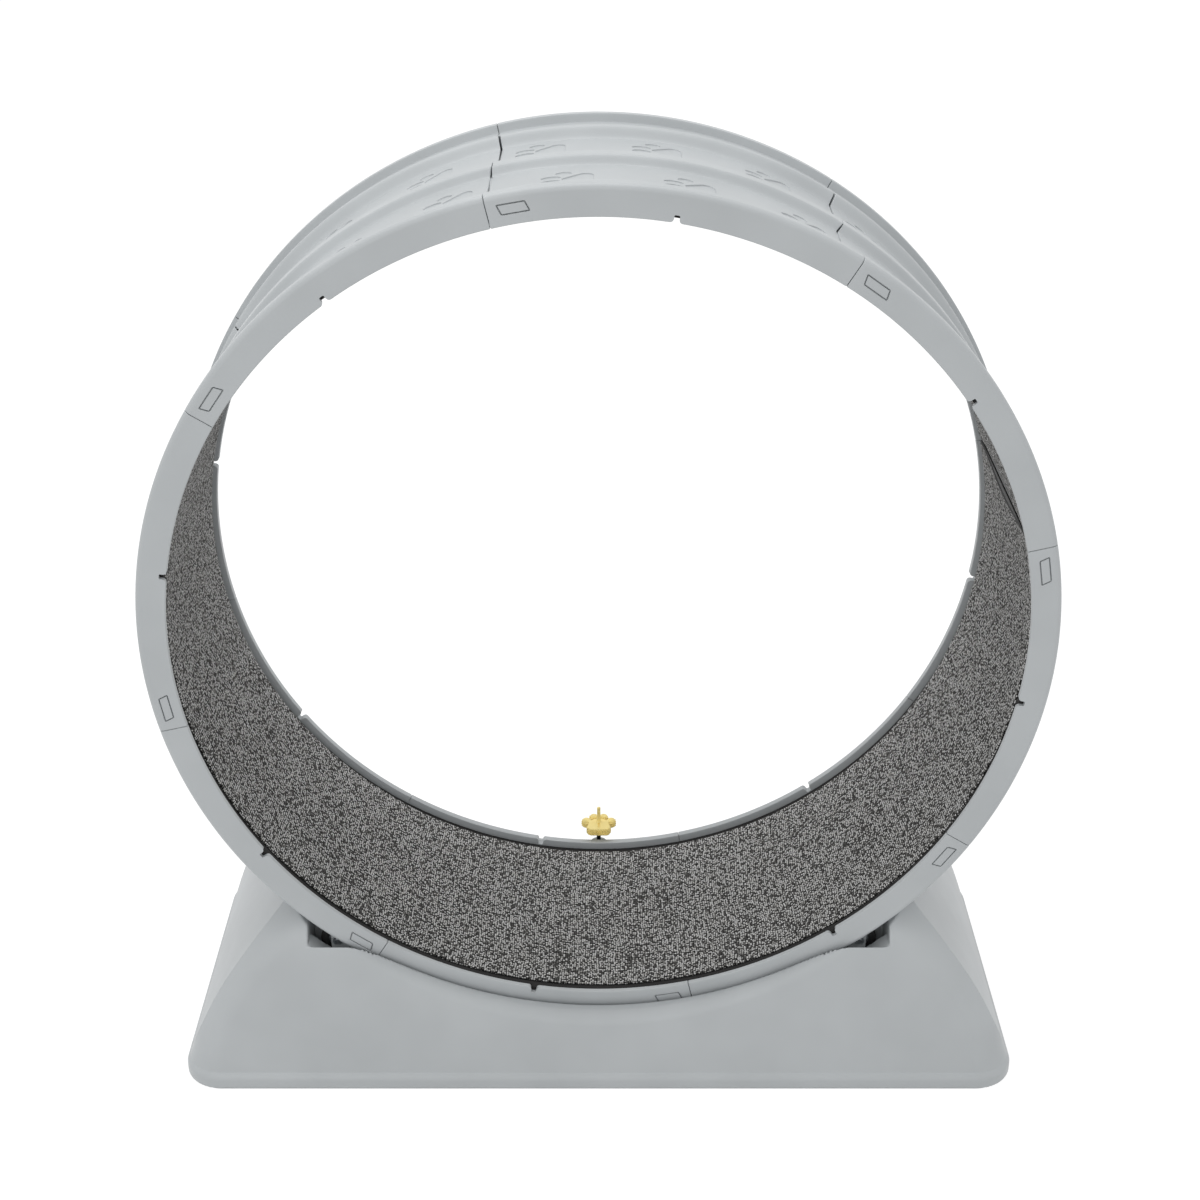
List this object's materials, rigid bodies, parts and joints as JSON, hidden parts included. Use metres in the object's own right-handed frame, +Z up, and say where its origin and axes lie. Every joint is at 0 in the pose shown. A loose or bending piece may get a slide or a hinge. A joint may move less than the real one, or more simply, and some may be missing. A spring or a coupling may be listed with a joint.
{
  "type": "cat exercise wheel",
  "caption": "Free-standing cat exercise wheel: a segmented ring with a foam and carpet track, turning on rubber rollers in a low moulded base with a paw-shaped brake knob.",
  "frame": {"origin": "on the floor, at the middle of the base's outline", "axes": "+Z up; the wheel turns about Y; the front, which the picture shows, faces -Y; X runs along the base"},
  "size_m": [0.9, 0.38, 0.968],
  "materials": {
    "shell_grey": "fine satin, pale cool grey moulded plastic",
    "foam_black": "matte black closed-cell foam",
    "carpet_grey": "heathered grey ribbed loop carpet",
    "roller_black": "matte black rubber",
    "hub_black": "satin black plastic",
    "screw_steel": "plain zinc-plated steel",
    "paw_yellow": "satin yellow plastic, knurled round its edge"
  },
  "bodies": {
    "base": {"base_shell": "shell_grey", "bottom_cover": "shell_grey", "cover_screws": "screw_steel", "rubber_feet": "roller_black", "roller_bracket_front_left": "shell_grey", "roller_bracket_front_right": "shell_grey", "roller_bracket_rear_left": "shell_grey", "roller_bracket_rear_right": "shell_grey", "roller_axle_front_left": "screw_steel", "roller_axle_front_right": "screw_steel", "roller_axle_rear_left": "screw_steel", "roller_axle_rear_right": "screw_steel", "axle_clips": "screw_steel", "bracket_screws": "screw_steel", "stem_bushing": "hub_black"},
    "wheel": {"rim_segment_1": "shell_grey", "rim_segment_2": "shell_grey", "rim_segment_3": "shell_grey", "rim_segment_4": "shell_grey", "rim_segment_5": "shell_grey", "rim_segment_6": "shell_grey", "rim_segment_7": "shell_grey", "rim_segment_8": "shell_grey", "foam_underlay": "foam_black", "carpet_runner": "carpet_grey"},
    "roller_front_left": {"roller_tyre_front_left": "roller_black", "roller_hub_front_left": "hub_black", "roller_bearings_front_left": "screw_steel"},
    "roller_front_right": {"roller_tyre_front_right": "roller_black", "roller_hub_front_right": "hub_black", "roller_bearings_front_right": "screw_steel"},
    "roller_rear_left": {"roller_tyre_rear_left": "roller_black", "roller_hub_rear_left": "hub_black", "roller_bearings_rear_left": "screw_steel"},
    "roller_rear_right": {"roller_tyre_rear_right": "roller_black", "roller_hub_rear_right": "hub_black", "roller_bearings_rear_right": "screw_steel"},
    "brake": {"paw_knob": "paw_yellow", "brake_stem": "screw_steel", "brake_cam": "roller_black", "stem_clip": "screw_steel"}
  },
  "joints": [
    {"name": "wheel_spin", "type": "hinge", "parent": "base", "child": "wheel", "pos_m": [0, 0, 0.518], "axis": [0, 1, 0], "continuous": true},
    {"name": "roller_spin_front_left", "type": "hinge", "parent": "base", "child": "roller_front_left", "pos_m": [-0.27766, -0.12, 0.15087], "axis": [0, 1, 0], "continuous": true},
    {"name": "roller_spin_front_right", "type": "hinge", "parent": "base", "child": "roller_front_right", "pos_m": [0.27766, -0.12, 0.15087], "axis": [0, 1, 0], "continuous": true},
    {"name": "roller_spin_rear_left", "type": "hinge", "parent": "base", "child": "roller_rear_left", "pos_m": [-0.27766, 0.12, 0.15087], "axis": [0, 1, 0], "continuous": true},
    {"name": "roller_spin_rear_right", "type": "hinge", "parent": "base", "child": "roller_rear_right", "pos_m": [0.27766, 0.12, 0.15087], "axis": [0, 1, 0], "continuous": true},
    {"name": "brake_turn", "type": "hinge", "parent": "base", "child": "brake", "pos_m": [0, 0.163, 0.1], "axis": [0, 0, 1], "range_deg": [0, 90]}
  ],
  "couplings": [
    {"joint": "roller_spin_front_left", "follows": "wheel_spin", "ratio": -24.556},
    {"joint": "roller_spin_front_right", "follows": "wheel_spin", "ratio": -24.556},
    {"joint": "roller_spin_rear_left", "follows": "wheel_spin", "ratio": -24.556},
    {"joint": "roller_spin_rear_right", "follows": "wheel_spin", "ratio": -24.556}
  ]
}
